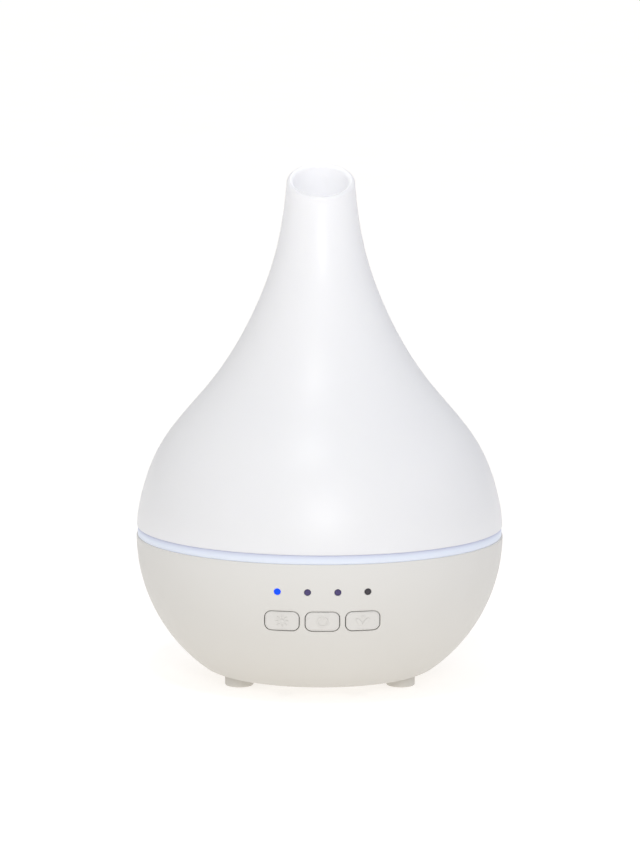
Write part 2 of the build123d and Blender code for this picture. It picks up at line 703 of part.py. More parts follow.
for number, lens_x in enumerate(LENS_PLACES, start=1):
    PARTS[f"indicator_lens_{number}"] = indicator_lens(lens_x)

os.makedirs("parts", exist_ok=True)
for name, shape in PARTS.items():
    solid = Compound(shape) if isinstance(shape, list) else shape
    export_step(Pos(0, 0, FOOT_DROP) * solid, f"parts/{name}.step")
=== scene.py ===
import math

import bmesh
import bpy
import numpy as np
from mathutils import Matrix, Vector


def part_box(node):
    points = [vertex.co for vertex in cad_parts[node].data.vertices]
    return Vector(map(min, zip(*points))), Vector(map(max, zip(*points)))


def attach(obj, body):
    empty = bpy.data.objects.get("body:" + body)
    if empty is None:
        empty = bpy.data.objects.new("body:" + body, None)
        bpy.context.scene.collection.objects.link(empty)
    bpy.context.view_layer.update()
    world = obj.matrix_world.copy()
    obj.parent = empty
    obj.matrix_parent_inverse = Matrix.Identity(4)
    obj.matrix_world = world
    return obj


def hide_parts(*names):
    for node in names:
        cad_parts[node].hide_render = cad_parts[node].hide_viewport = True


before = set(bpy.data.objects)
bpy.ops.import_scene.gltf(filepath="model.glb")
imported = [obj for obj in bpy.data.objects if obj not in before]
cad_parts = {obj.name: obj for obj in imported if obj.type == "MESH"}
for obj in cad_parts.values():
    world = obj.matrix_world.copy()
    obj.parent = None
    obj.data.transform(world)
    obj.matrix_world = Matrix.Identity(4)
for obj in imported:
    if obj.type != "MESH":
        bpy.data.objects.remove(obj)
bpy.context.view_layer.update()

# Cool mist humidifier in the shape of a vase. Outlines below are in millimetres, with heights from a plane just
# under the bowl, like the CAD drawing's. Meshes are written in metres, FOOT_DROP higher, so that the feet stand
# on z = 0. +Z is up, the buttons face -Y, and angles run from the front towards +X.

MM = 0.001

# ---- driving dimensions, in millimetres ----
BOWL_RADIUS = 84.0
BOWL_FLOOR = 1.5
BOWL_TOP = 63.8
CORNER_RADIUS = 11.0
CORNER_TURN = math.radians(36.9)
WALL = 2.2
EDGE = 0.35                 # rounding of the bowl's edges
COVER_POINTS = [(83.8, 67.9), (81.8, 82.0), (73.5, 104.0), (50.0, 134.0), (28.8, 170.0),
                (21.5, 190.0), (17.3, 210.0), (14.6, 238.0)]
COVER_WALL = 1.9
LIP_WALL = 3.0
MOUTH_HEIGHT = 226.7
MOUTH_TILT = math.radians(24.0)
NECK_START = 188.0          # above this the rings lean with the mouth
COVER_EDGE = 0.5
BAND_HEIGHT = 4.1
BAND_INNER = 74.6
BAND_WALL = 2.4

FOOT_DROP = 3.2
FOOT_CIRCLE = 42.5
FOOT_RADIUS = 6.55
FOOT_EDGE = 0.3
PAD_RADIUS = 4.8
PAD_HEIGHT = 1.4
TANK_SCREW_PLACES = [(-16.0, -40.0), (16.0, -40.0), (-31.0, 31.0), (31.0, 31.0)]
TANK_SCREW_RECESS = 3.0
TANK_SCREW_SEAT = 7.0
TANK_SCREW_HOLE = 1.7
TANK_POST_TOP = 11.4
TANK_POST_RADIUS = 4.5
INTAKE_PLACE = (0.0, 21.5)
INTAKE_RADIUS = 12.5
SLOT_PITCH = 3.8
SLOT_WIDTH = 2.0

BUTTON_PITCH = 17.9
BUTTON_SIZE = (15.0, 9.0)
BUTTON_CORNER = 2.9
BUTTON_HEIGHT = 37.45
BUTTON_PROUD = 0.6
BUTTON_GAP = 0.3
BUTTON_DEPTH = 3.4
BUTTON_EDGE = 0.8
BUTTON_POINTS = 96          # round a cap's outline
DISH = 0.1                  # how far a button's face is hollowed
BUTTON_SIT = 0.1            # how far a button sits above the middle of its opening
ICON_PROUD = 0.34
LENS_PLACES = [-20.0, -6.7, 6.7, 20.0]
LENS_HEIGHT = 51.25
LENS_RADIUS = 1.45
LENS_GAP = 0.08
LENS_SINK = 0.05            # how far a light pipe's end lies below the bowl's face
LENS_LENGTH = 12.0

INLET_HEIGHT = 22.0
INLET_FACE = 65.0
INLET_RECESS = 7.0
COLLAR_RADIUS = 4.7
COLLAR_DEPTH = 3.5
COLLAR_WALL = 8.6           # radius of the thicker wall round the socket's collar, inside the bowl

SKIRT_RADIUS = 77.2
SKIRT_TOP = 74.0
CHIMNEY_RADIUS = 12.4
CHIMNEY_FOOT = 134.0
CHIMNEY_TOP = 166.0
INNER_WALL = 1.6
FLANGE_TOP = 67.3

# The bowl's grid is opened up in blocks, in which the rounded holes are drawn.
BLOCK_LOW = 31.2            # heights between which the button openings' blocks lie
BLOCK_HIGH = 43.7
BLOCK_SIDE = 6.5            # degrees from the front to the edge between two buttons' blocks
BLOCK_END = 21.0
INLET_LOW = 12.5
INLET_SIDE = 8.0
ROW_COUNTS = [22, 20, 12, 20]
COLUMN_COUNTS = [20, 18, 20, 76, 22, 76]
CORNER_POINTS = 5           # points in which an outline's rounded corner is drawn


# ---- mesh making ----
def placed(point):
    """A point of the outlines, in metres and above the floor."""
    x, y, z = point
    return (x * MM, y * MM, (z + FOOT_DROP) * MM)


class Shape:
    """Points and faces of one piece, in millimetres."""

    def __init__(self):
        self.points = []
        self.faces = []

    def loop(self, points):
        first = len(self.points)
        self.points.extend(tuple(float(c) for c in p) for p in points)
        return list(range(first, len(self.points)))

    def bridge(self, a, b):
        """Quads between two closed loops of the same length."""
        for i in range(len(a)):
            j = (i + 1) % len(a)
            self.faces.append((a[i], a[j], b[j], b[i]))

    def chain(self, loops):
        for a, b in zip(loops, loops[1:]):
            self.bridge(a, b)

    def cap(self, ring, centre):
        middle = self.loop([centre])[0]
        for i, a in enumerate(ring):
            self.faces.append((a, ring[(i + 1) % len(ring)], middle))

    def lathe(self, profile, segments=96, centre=(0.0, 0.0)):
        """A profile of (radius, height) turned about a vertical line; a radius of 0 closes an end."""
        angles = np.linspace(0, 2 * math.pi, segments, endpoint=False)
        rings = []
        ends = []
        for r, z in profile:
            if r <= 0:
                ends.append((len(rings), (centre[0], centre[1], z)))
                continue
            rings.append(self.loop([(centre[0] + r * math.sin(a), centre[1] - r * math.cos(a), z) for a in angles]))
        self.chain(rings)
        for place, point in ends:
            self.cap(rings[0] if place == 0 else rings[-1], point)
        if not ends:
            self.bridge(rings[-1], rings[0])

    def mesh(self, name):
        """The mesh in metres, with its normals outwards."""
        mesh = bpy.data.meshes.new(name)
        mesh.from_pydata([placed(p) for p in self.points], [], self.faces)
        tidy_mesh(mesh)
        return mesh

    def piece(self, name, body, material, replaces=(), sharp=40.0):
        """The finished object, riding on its body."""
        return finished(bpy.data.objects.new(name, self.mesh(name)), body, material, replaces, sharp)


def tidy_mesh(mesh):
    """Joins points that coincide and turns every face outwards."""
    work = bmesh.new()
    work.from_mesh(mesh)
    bmesh.ops.remove_doubles(work, verts=work.verts, dist=1e-6)
    bmesh.ops.dissolve_degenerate(work, edges=work.edges, dist=1e-7)
    bmesh.ops.recalc_face_normals(work, faces=work.faces)
    if work.calc_volume(signed=True) < 0:
        bmesh.ops.reverse_faces(work, faces=work.faces)
    work.to_mesh(mesh)
    work.free()


def finished(obj, body, material, replaces=(), sharp=40.0):
    """Links a piece, smooths it up to an angle, and gives it its body and material."""
    if obj.name not in bpy.context.scene.objects:
        bpy.context.scene.collection.objects.link(obj)
    smooth(obj.data, sharp)
    obj.data.materials.clear()
    obj.data.materials.append(material)
    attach(obj, body)
    if replaces:
        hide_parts(*replaces)
    return obj


def smooth(mesh, sharp):
    mesh.polygons.foreach_set("use_smooth", [True] * len(mesh.polygons))
    mesh.set_sharp_from_angle(angle=math.radians(sharp))
    mesh.update()


def arc(centre, radius, start, end, count):
    """Points (x, y) along an arc, angles in radians."""
    return [(centre[0] + radius * math.cos(a), centre[1] + radius * math.sin(a))
            for a in np.linspace(start, end, count)]


def rounded(points, radii, closed=True):
    """A polygon with each corner replaced by an arc of its own radius."""
    count = len(points)
    if not isinstance(radii, (list, tuple)):
        radii = [radii] * count
    result = []
    for i, corner in enumerate(points):
        corner = np.array(corner, float)
        if radii[i] <= 0 or (not closed and i in (0, count - 1)):
            result.append(tuple(corner))
            continue
        before = np.array(points[i - 1], float) - corner
        after = np.array(points[(i + 1) % count], float) - corner
        before /= np.linalg.norm(before)
        after /= np.linalg.norm(after)
        half = math.acos(float(np.clip(before @ after, -1, 1))) / 2
        reach = radii[i] / math.tan(half)
        middle = (before + after) / np.linalg.norm(before + after)
        centre = corner + middle * (radii[i] / math.sin(half))
        first = corner + before * reach - centre
        last = corner + after * reach - centre
        turn = math.atan2(first[0] * last[1] - first[1] * last[0], float(first @ last))
        for t in np.linspace(0, turn, CORNER_POINTS):
            c, s = math.cos(t), math.sin(t)
            result.append((centre[0] + first[0] * c - first[1] * s, centre[1] + first[0] * s + first[1] * c))
    return result


class Outline:
    """A smooth curve (radius, height) through points, with given directions at its ends."""

    def __init__(self, points, start, end):
        points = np.array(points, float)
        steps = np.linalg.norm(np.diff(points, axis=0), axis=1)
        count = len(points)
        left = np.zeros((count, count))
        right = np.zeros((count, 2))
        left[0, 0] = left[-1, -1] = 1
        right[0] = np.array(start, float) / np.linalg.norm(start)
        right[-1] = np.array(end, float) / np.linalg.norm(end)
        for i in range(1, count - 1):
            h0, h1 = steps[i - 1], steps[i]
            left[i, i - 1:i + 2] = h1, 2 * (h0 + h1), h0
            right[i] = 3 * (h1 * (points[i] - points[i - 1]) / h0 + h0 * (points[i + 1] - points[i]) / h1)
        self.points = points
        self.slopes = np.linalg.solve(left, right)
        self.stops = np.concatenate([[0], np.cumsum(steps)])

    def at(self, place):
        """The point and the direction at a length along the curve."""
        i = int(np.clip(np.searchsorted(self.stops, place) - 1, 0, len(self.points) - 2))
        h = self.stops[i + 1] - self.stops[i]
        t = (place - self.stops[i]) / h
        p0, p1, m0, m1 = self.points[i], self.points[i + 1], self.slopes[i] * h, self.slopes[i + 1] * h
        point = (2*t**3 - 3*t**2 + 1) * p0 + (t**3 - 2*t**2 + t) * m0 + (3*t**2 - 2*t**3) * p1 + (t**3 - t**2) * m1
        way = (6*t**2 - 6*t) * (p0 - p1) + (3*t**2 - 4*t + 1) * m0 + (3*t**2 - 2*t) * m1
        return point, way / np.linalg.norm(way)

    def sampled(self, count, depth=(0.0, 0.0)):
        """Evenly spaced points, moved inwards by a depth that may change along the curve."""
        result = []
        for t in np.linspace(0, 1, count):
            point, way = self.at(t * self.stops[-1])
            inward = depth[0] + (depth[1] - depth[0]) * t
            result.append((point[0] - way[1] * inward, point[1] + way[0] * inward))
        return np.array(result)


# ---- materials ----
def srgb(*colour):
    """A colour given in 0 to 255 steps, as the linear values that shaders take."""
    def linear(c):
        c /= 255
        return c / 12.92 if c <= 0.04045 else ((c + 0.055) / 1.055) ** 2.4
    return tuple(linear(c) for c in colour) + (1.0,)


class Finish:
    """A material's nodes, made one at a time."""

    def __init__(self, name, roughness=0.5, **sockets):
        self.material = bpy.data.materials.new(name)
        self.material.use_nodes = True
        self.tree = self.material.node_tree
        self.shader = self.tree.nodes["Principled BSDF"]
        self.shader.inputs["Roughness"].default_value = roughness
        for socket, value in sockets.items():
            self.shader.inputs[socket.replace("_", " ")].default_value = value
        self.coordinates = self.node("ShaderNodeTexCoord").outputs["Object"]

    def node(self, kind, inputs=None, **settings):
        made = self.tree.nodes.new(kind)
        for key, value in settings.items():
            setattr(made, key, value)
        for key, value in (inputs or {}).items():
            if isinstance(value, bpy.types.NodeSocket):
                self.tree.links.new(value, made.inputs[key])
            else:
                made.inputs[key].default_value = value
        return made

    def noise(self, size, detail=3.0, rough=0.5, stretch=None):
        """Noise whose features are about one size across, in millimetres."""
        place = self.coordinates
        if stretch:
            place = self.node("ShaderNodeMapping", {"Vector": place, "Scale": stretch}).outputs[0]
        scale = 1.0 / (size * MM)
        return self.node("ShaderNodeTexNoise", {"Vector": place, "Scale": scale, "Detail": detail,
                                                "Roughness": rough}).outputs["Fac"]

    def spread(self, value, low, high):
        """A noise value laid over a range; noise rarely leaves 0.3 to 0.7."""
        return self.node("ShaderNodeMapRange", {"Value": value, "From Min": 0.3, "From Max": 0.7,
                                                "To Min": low, "To Max": high}).outputs["Result"]

    def ramp(self, value, stops):
        made = self.node("ShaderNodeValToRGB", {"Fac": value})
        ramp = made.color_ramp
        while len(ramp.elements) < len(stops):
            ramp.elements.new(0.5)
        for element, (place, colour) in zip(ramp.elements, stops):
            element.position = place
            element.color = colour
        return made.outputs["Color"]

    def link(self, value, socket):
        self.tree.links.new(value, self.shader.inputs[socket])

    def bump(self, height, strength, distance):
        """Fine relief; the distance is in millimetres."""
        made = self.node("ShaderNodeBump", {"Height": height, "Strength": strength, "Distance": distance * MM})
        self.link(made.outputs["Normal"], "Normal")

    def inside(self, strength):
        """A mask for painted glow: a value on the faces that look towards the object's vertical axis, and 0 on the
        others.
        """
        outwards = self.node("ShaderNodeVectorMath", {0: self.coordinates, 1: (1.0, 1.0, 0.0)}, operation="MULTIPLY")
        normal = self.node("ShaderNodeTexCoord").outputs["Normal"]
        along = self.node("ShaderNodeVectorMath", {0: outwards.outputs[0], 1: normal}, operation="DOT_PRODUCT")
        inwards = self.node("ShaderNodeMath", {0: along.outputs["Value"], 1: 0.0}, operation="LESS_THAN")
        return self.node("ShaderNodeMath", {0: inwards.outputs[0], 1: strength}, operation="MULTIPLY").outputs[0]

    def height(self, low, high):
        """How far up the object a point is, from 0 to 1 between two heights in millimetres."""
        z = self.node("ShaderNodeSeparateXYZ", {"Vector": self.coordinates}).outputs["Z"]
        low, high = (low + FOOT_DROP) * MM, (high + FOOT_DROP) * MM
        return self.node("ShaderNodeMapRange", {"Value": z, "From Min": low, "From Max": high,
                                                "To Min": 0.0, "To Max": 1.0}).outputs["Result"]


def moulded(name, colour, roughness, grain=0.35, relief=0.12, shade=0.985, **sockets):
    """Moulded plastic: an even colour with faint flow marks, and a fine spark-eroded grain."""
    finish = Finish(name, roughness, **sockets)
    darker = tuple(c * shade for c in colour[:3]) + (1.0,)
    finish.link(finish.ramp(finish.noise(22.0, 2.0), [(0.35, darker), (0.65, colour)]), "Base Color")
    finish.link(finish.spread(finish.noise(6.0, 4.0), roughness - 0.04, roughness + 0.04), "Roughness")
    finish.bump(finish.noise(grain, 2.0, 0.6), relief, 0.02)
    return finish


BOWL_TONE = (0.68, 0.667, 0.64, 1.0)


def bowl_plastic():
    """Cream plastic with faint flow marks, and painted shade: a little warmer and darker towards the bottom, darkest
    on the feet.
    """
    finish = moulded("bowl_plastic", BOWL_TONE, 0.42, Specular_IOR_Level=0.3)
    marks = finish.spread(finish.noise(22.0, 2.0), -0.04, 0.04)
    # painted shade: the colour ramp darkens and warms the plastic by height, from the rim down to the feet
    place = finish.node("ShaderNodeMath", {0: finish.height(0.0, BOWL_TOP), 1: marks}, operation="ADD").outputs[0]
    low, high = (0.635, 0.615, 0.57, 1.0), (0.71, 0.70, 0.675, 1.0)
    finish.link(finish.ramp(place, [(0.0, low), (0.95, high)]), "Base Color")
    return finish.material


def button_plastic():
    return moulded("button_plastic", BOWL_TONE, 0.3, grain=0.5, relief=0.06).material


def cover_plastic():
    """Thin white plastic; its inside faces carry a painted glow, an emission standing in for the light that comes
    through the wall.
    """
    finish = moulded("cover_plastic", (0.872, 0.874, 0.90, 1.0), 0.38, grain=0.6, relief=0.05, shade=0.995,
                     Subsurface_Weight=0.35, Subsurface_Radius=(0.008, 0.008, 0.009), Subsurface_Scale=1.0,
                     Emission_Color=(1.0, 1.0, 1.0, 1.0))
    # painted glow: white emission on the inside faces only
    finish.link(finish.inside(0.14), "Emission Strength")
    return finish.material


def inner_plastic():
    return moulded("inner_plastic", srgb(240, 242, 244), 0.36, grain=0.8, relief=0.03).material


def tank_plastic():
    return moulded("tank_plastic", srgb(242, 244, 246), 0.24, grain=1.2, relief=0.03).material


def band_plastic_painted_shadow():
    """Frosted band that glows blue, with painted shadow in its colour and glow: darkest at its top edge under the
    cover's rim, brightest just above the bowl.
    """
    finish = Finish("band_plastic_painted_shadow", 0.45, Subsurface_Weight=0.3, Subsurface_Radius=(0.003, 0.003, 0.004),
                    Subsurface_Scale=1.0)
    rise = finish.height(BOWL_TOP, BOWL_TOP + BAND_HEIGHT)
    # painted shadow: the base colour darkens towards the top edge, under the cover's rim
    low, middle, high = (0.68, 0.70, 0.74, 1.0), (0.64, 0.67, 0.73, 1.0), (0.50, 0.51, 0.60, 1.0)
    finish.link(finish.ramp(rise, [(0.0, low), (0.55, middle), (1.0, high)]), "Base Color")
    # painted shadow: the glow also dims towards the top edge
    glow = finish.ramp(rise, [(0.0, (0.30, 0.36, 0.50, 1.0)), (0.75, (0.20, 0.26, 0.38, 1.0)),
                              (1.0, (0.12, 0.14, 0.3, 1.0))])
    finish.link(glow, "Emission Color")
    finish.shader.inputs["Emission Strength"].default_value = 0.42
    finish.bump(finish.noise(0.5, 2.0), 0.08, 0.02)
    return finish.material


def lens_finish(name, colour, glow, strength):
    """A light pipe's end of clear dark plastic."""
    finish = Finish(name, 0.5, Specular_IOR_Level=0.2)
    paler = tuple(c * 1.25 for c in colour[:3]) + (1.0,)
    finish.link(finish.ramp(finish.noise(0.9, 2.0), [(0.3, colour), (0.7, paler)]), "Base Color")
    finish.shader.inputs["Emission Color"].default_value = glow
    finish.shader.inputs["Emission Strength"].default_value = strength
    finish.bump(finish.noise(0.6, 2.0), 0.05, 0.02)
    return finish.material


def rubber(name, colour):
    return moulded(name, colour, 0.75, grain=0.3, relief=0.25, shade=0.93).material


def metal(name, colour, roughness, size=0.4, stretch=None):
    """Bare or plated metal with fine working marks."""
    finish = Finish(name, roughness, Metallic=1.0)
    darker = tuple(c * 0.9 for c in colour[:3]) + (1.0,)
    finish.link(finish.ramp(finish.noise(5.0, 3.0), [(0.35, darker), (0.65, colour)]), "Base Color")
    marks = finish.noise(size, 3.0, 0.6, stretch)
    finish.link(finish.spread(marks, roughness - 0.08, roughness + 0.08), "Roughness")
    finish.bump(marks, 0.12, 0.02)
    return finish.material


def circuit_board():
    """Green solder mask with paler tracks just showing through."""
    finish = Finish("circuit_board", 0.3, Coat_Weight=0.3)
    cells = finish.node("ShaderNodeTexVoronoi", {"Vector": finish.coordinates, "Scale": 260.0},
                        distance="CHEBYCHEV", feature="DISTANCE_TO_EDGE").outputs["Distance"]
    finish.link(finish.ramp(cells, [(0.03, srgb(46, 128, 74)), (0.07, srgb(18, 84, 46))]), "Base Color")
    finish.bump(cells, 0.1, 0.03)
    return finish.material


def wound_copper():
    """Enamelled wire in close turns, one above the other."""
    finish = Finish("wound_copper", 0.35, Metallic=0.9)
    turns = finish.node("ShaderNodeTexWave", {"Vector": finish.coordinates, "Scale": 420.0, "Distortion": 0.3},
                        bands_direction="Z").outputs["Fac"]
    finish.link(finish.ramp(turns, [(0.2, srgb(110, 50, 20)), (0.8, srgb(200, 110, 60))]), "Base Color")
    finish.bump(turns, 0.4, 0.1)
    return finish.material


BOWL = bowl_plastic()
BUTTON = button_plastic()
COVER = cover_plastic()
INNER = inner_plastic()
TANK = tank_plastic()
BAND = band_plastic_painted_shadow()
LIT = lens_finish("lens_lit", srgb(2, 30, 160), srgb(0, 82, 255), 0.9)
DARK = lens_finish("lens_dark", srgb(74, 66, 106), srgb(60, 56, 80), 0.0)
GREY = lens_finish("lens_grey", srgb(66, 63, 68), srgb(60, 60, 60), 0.0)
PAD = rubber("foot_rubber", srgb(206, 200, 186))
SEAL = rubber("seal_rubber", srgb(226, 226, 224))
STEEL = metal("screw_steel", srgb(190, 190, 194), 0.35)
CLAMP = metal("clamp_steel", srgb(198, 198, 202), 0.4)
SILVER = metal("disc_silver", srgb(215, 215, 216), 0.25, 0.8)
NICKEL = metal("inlet_nickel", srgb(214, 212, 206), 0.18)
ALUMINIUM = metal("sink_aluminium", srgb(196, 198, 202), 0.45, 0.3, (1.0, 1.0, 0.05))
BLACK = moulded("black_plastic", srgb(34, 34, 36), 0.4, shade=0.8).material
FAN = moulded("fan_plastic", srgb(26, 26, 28), 0.35, shade=0.8).material
SWITCH = moulded("switch_black", srgb(38, 38, 38), 0.45, shade=0.85).material
HEADER = moulded("connector_white", srgb(232, 228, 214), 0.45, shade=0.95).material
RIBBON = moulded("ribbon_grey", srgb(168, 170, 174), 0.5, shade=0.92).material
SLEEVE = moulded("capacitor_sleeve", srgb(28, 32, 60), 0.3, shade=0.85).material
LAMP = moulded("lamp_white", srgb(246, 240, 214), 0.3, shade=0.96).material
BOARD = circuit_board()
COPPER = wound_copper()


# ---- the bowl ----
def bowl_curve(depth=0.0):
    """Close points (radius, height) along the bowl's outline from floor to rim, moved inwards by a depth."""
    rise = CORNER_RADIUS * (1 - math.cos(CORNER_TURN))
    wide = (BOWL_TOP - BOWL_FLOOR - rise) / math.cos(CORNER_TURN)
    floor_radius = BOWL_RADIUS - CORNER_RADIUS * math.sin(CORNER_TURN) - wide * (1 - math.sin(CORNER_TURN))
    joint = CORNER_TURN - math.pi / 2
    corner = arc((floor_radius, BOWL_FLOOR + CORNER_RADIUS), CORNER_RADIUS - depth, -math.pi / 2, joint, 80)
    side = arc((BOWL_RADIUS - wide, BOWL_TOP), wide - depth, joint, 0, 400)
    return np.array(corner + side[1:])


BOWL_OUTSIDE = bowl_curve()
BOWL_INSIDE = bowl_curve(WALL)


def bowl_radius(z, curve=BOWL_OUTSIDE):
    return float(np.interp(z, curve[:, 1], curve[:, 0]))


def stations(stops, counts):
    """Values that pass through every stop, with a number of even steps between each two."""
    values = [stops[0]]
    for low, high, count in zip(stops, stops[1:], counts):
        values.extend(np.linspace(low, high, count + 1)[1:])
    return np.array(values)


def row_places():
    """Heights of the bowl's rows, evenly spaced along its outline between the edges of the openings' blocks."""
    lengths = np.concatenate([[0], np.cumsum(np.linalg.norm(np.diff(BOWL_OUTSIDE, axis=0), axis=1))])
    stops = [BOWL_FLOOR, INLET_LOW, BLOCK_LOW, BLOCK_HIGH, BOWL_TOP - EDGE]
    at_stops = np.interp(stops, BOWL_OUTSIDE[:, 1], lengths)
    return stations(at_stops, ROW_COUNTS), lengths


def rounded_point(width, height, radius, place):
    """A point of a rounded rectangle; places 0, 1, 2 and 3 are the middles of its corners, the lower left first."""
    side = int(place) % 4
    t = place - int(place)
    along, across = (width, height) if side % 2 == 0 else (height, width)
    straight = along - 2 * radius
    bend = radius * math.pi / 4
    run = t * (straight + 2 * bend)
    if run < bend:
        turn = math.pi / 4 + run / radius
        x = -along / 2 + radius - radius * math.cos(turn)
        y = -across / 2 + radius - radius * math.sin(turn)
    elif run > bend + straight:
        turn = math.pi / 2 - (run - bend - straight) / radius
        x = along / 2 - radius + radius * math.cos(turn)
        y = -across / 2 + radius - radius * math.sin(turn)
    else:
        x = -along / 2 + radius + run - bend
        y = -across / 2
    quarter = side * math.pi / 2
    return (x * math.cos(quarter) - y * math.sin(quarter), x * math.sin(quarter) + y * math.cos(quarter))


class Face:
    """The side of the bowl that faces one way: maps (across, height) onto its surface."""

    def __init__(self, azimuth):
        self.out = np.array([math.sin(azimuth), -math.cos(azimuth), 0.0])
        self.across = np.array([math.cos(azimuth), math.sin(azimuth), 0.0])

    def surface(self, u, z, curve=BOWL_OUTSIDE):
        """How far out the bowl's surface is."""
        return math.sqrt(bowl_radius(z, curve) ** 2 - u * u)

    def point(self, u, z, reach):
        return self.across * u + self.out * reach + np.array([0, 0, z])


FRONT = Face(0.0)
BACK = Face(math.pi)


def bowl_shape():
    """The bowl as a closed wall, with blocks of its grid opened up into rounded holes."""
    shape = Shape()
    places, lengths = row_places()
    rows = [(float(np.interp(s, lengths, BOWL_OUTSIDE[:, 0])), float(np.interp(s, lengths, BOWL_OUTSIDE[:, 1])))
            for s in places]
    inner_rows = [(float(np.interp(s, lengths, BOWL_INSIDE[:, 0])), float(np.interp(s, lengths, BOWL_INSIDE[:, 1])))
                  for s in places]
    stops = [-BLOCK_END, -BLOCK_SIDE, BLOCK_SIDE, BLOCK_END, 180 - INLET_SIDE, 180 + INLET_SIDE, 360 - BLOCK_END]
    columns = np.radians(stations(stops, COLUMN_COUNTS)[:-1])

    def ring(r, z):
        return shape.loop([(r * math.sin(a), -r * math.cos(a), z) for a in columns])

    outer = [ring(r, z) for r, z in rows]
    inner = [ring(r, z) for r, z in inner_rows]
    heights = np.array([z for _, z in rows])

    def block(azimuth, height, across, up):
        """A block of the grid round a place: half its size in columns and in rows."""
        column = int(np.argmin(np.abs(np.degrees(columns) - azimuth)))
        row = int(np.argmin(np.abs(heights - height)))
        return row - up, row + up, column - across, column + across

    def block_between(low, high, left, right):
        degrees = np.degrees(columns)
        edges = [int(np.argmin(np.abs(heights - v))) for v in (low, high)]
        sides = [int(np.argmin(np.abs(degrees - v))) for v in (left, right)]
        return edges[0], edges[1], sides[0], sides[1]

    holes = []
    edges = [-BLOCK_END, -BLOCK_SIDE, BLOCK_SIDE, BLOCK_END]
    for i, left in enumerate(edges[:-1]):
        size = [s + 2 * BUTTON_GAP for s in BUTTON_SIZE]
        holes.append((block_between(BLOCK_LOW, BLOCK_HIGH, left, edges[i + 1]), FRONT,
                      (i - 1) * BUTTON_PITCH, BUTTON_HEIGHT, size, BUTTON_CORNER + BUTTON_GAP))
    for x in LENS_PLACES:
        azimuth = math.degrees(math.asin(x / bowl_radius(LENS_HEIGHT)))
        diameter = 2 * (LENS_RADIUS + LENS_GAP)
        holes.append((block(azimuth, LENS_HEIGHT, 3, 3), FRONT, x, LENS_HEIGHT, (diameter,) * 2, diameter / 2))
    recess = 2 * INLET_RECESS
    holes.append((block_between(INLET_LOW, BLOCK_LOW, 180 - INLET_SIDE, 180 + INLET_SIDE), BACK,
                  0.0, INLET_HEIGHT, (recess, recess), INLET_RECESS))

    opened = set()
    for (low, high, left, right), *_ in holes:
        opened.update((i, j) for i in range(low, high) for j in range(left, right))
    count = len(columns)
    for i in range(len(rows) - 1):
        for j in range(count):
            if (i, j) in opened:
                continue
            k = (j + 1) % count
            shape.faces.append((outer[i][j], outer[i][k], outer[i + 1][k], outer[i + 1][j]))
            shape.faces.append((inner[i][j], inner[i + 1][j], inner[i + 1][k], inner[i][k]))
    for hole in holes:
        open_hole(shape, outer, inner, rows, columns, *hole)

    lip = [(BOWL_RADIUS - EDGE + EDGE * math.cos(a), BOWL_TOP - EDGE + EDGE * math.sin(a))
           for a in np.linspace(0, math.pi / 2, 5)[1:]]
    top = [outer[-1]] + [ring(r, z) for r, z in lip] + [ring(BOWL_RADIUS - WALL, BOWL_TOP), inner[-1]]
    shape.chain(top)
    floor_radius = rows[0][0]
    for ring_at_edge, z in ((outer[0], BOWL_FLOOR), (inner[0], BOWL_FLOOR + WALL)):
        loops = [ring_at_edge] + [ring(floor_radius * share, z) for share in (0.8, 0.6, 0.4, 0.2)]
        shape.chain(loops)
        shape.cap(loops[-1], (0, 0, z))
    return shape


def open_hole(shape, outer, inner, rows, columns, block, face, centre, height, size, corner):
    """Rings from a block's edge to a rounded hole, round its rim, through the wall and back to the inner face."""
    low, high, left, right = block
    wide, tall = right - left, high - low
    walk = [(low, left + k, 0 + k / wide) for k in range(wide)]
    walk += [(low + k, right, 1 + k / tall) for k in range(tall)]
    walk += [(high, right - k, 2 + k / wide) for k in range(wide)]
    walk += [(high - k, left, 3 + k / tall) for k in range(tall)]
    azimuth = math.atan2(face.out[0], -face.out[1])
    border = []
    for i, j, _ in walk:
        r, z = rows[i]
        border.append((r * math.sin(columns[j] - azimuth), z))
    edge = [outer[i][j] for i, j, _ in walk]
    inner_edge = [inner[i][j] for i, j, _ in walk]

    def outline(grow):
        result = []
        for _, _, place in walk:
            u, v = rounded_point(size[0] + 2 * grow, size[1] + 2 * grow, corner + grow, place)
            result.append((centre + u, height + v))
        return result

    def on_surface(points, sink=0.0, curve=BOWL_OUTSIDE):
        return shape.loop([face.point(u, z, face.surface(u, z, curve) - sink) for u, z in points])

    rim = outline(EDGE)
    middle = [((a[0] + b[0]) / 2, (a[1] + b[1]) / 2) for a, b in zip(border, rim)]
    loops = [edge, on_surface(middle), on_surface(rim)]
    for a in np.linspace(0, math.pi / 2, 4)[1:]:
        loops.append(on_surface(outline(EDGE * (1 - math.sin(a))), EDGE * (1 - math.cos(a))))
    if face is BACK:
        def flat(radius, reach):
            ring = [rounded_point(2 * radius, 2 * radius, radius, place) for _, _, place in walk]
            return shape.loop([face.point(u, height + v, reach) for u, v in ring])
        behind = INLET_FACE - COLLAR_DEPTH
        loops += [flat(INLET_RECESS, INLET_FACE + 0.4), flat(INLET_RECESS - 0.12, INLET_FACE + 0.12),
                  flat(INLET_RECESS - 0.4, INLET_FACE), flat(COLLAR_RADIUS + 0.25, INLET_FACE),
                  flat(COLLAR_RADIUS, INLET_FACE - 0.25), flat(COLLAR_RADIUS, behind),
                  flat(COLLAR_WALL, behind)]
        rim = [rounded_point(2 * COLLAR_WALL, 2 * COLLAR_WALL, COLLAR_WALL, place) for _, _, place in walk]
        rim = [(u, height + v) for u, v in rim]
    else:
        rim = outline(0.0)
    loops.append(on_surface(rim, 0.0, BOWL_INSIDE))
    loops.append(inner_edge)
    shape.chain(loops)


def foot_places():
    return [(FOOT_CIRCLE * math.sin(a), -FOOT_CIRCLE * math.cos(a)) for a in np.radians([-60, 60, 180])]


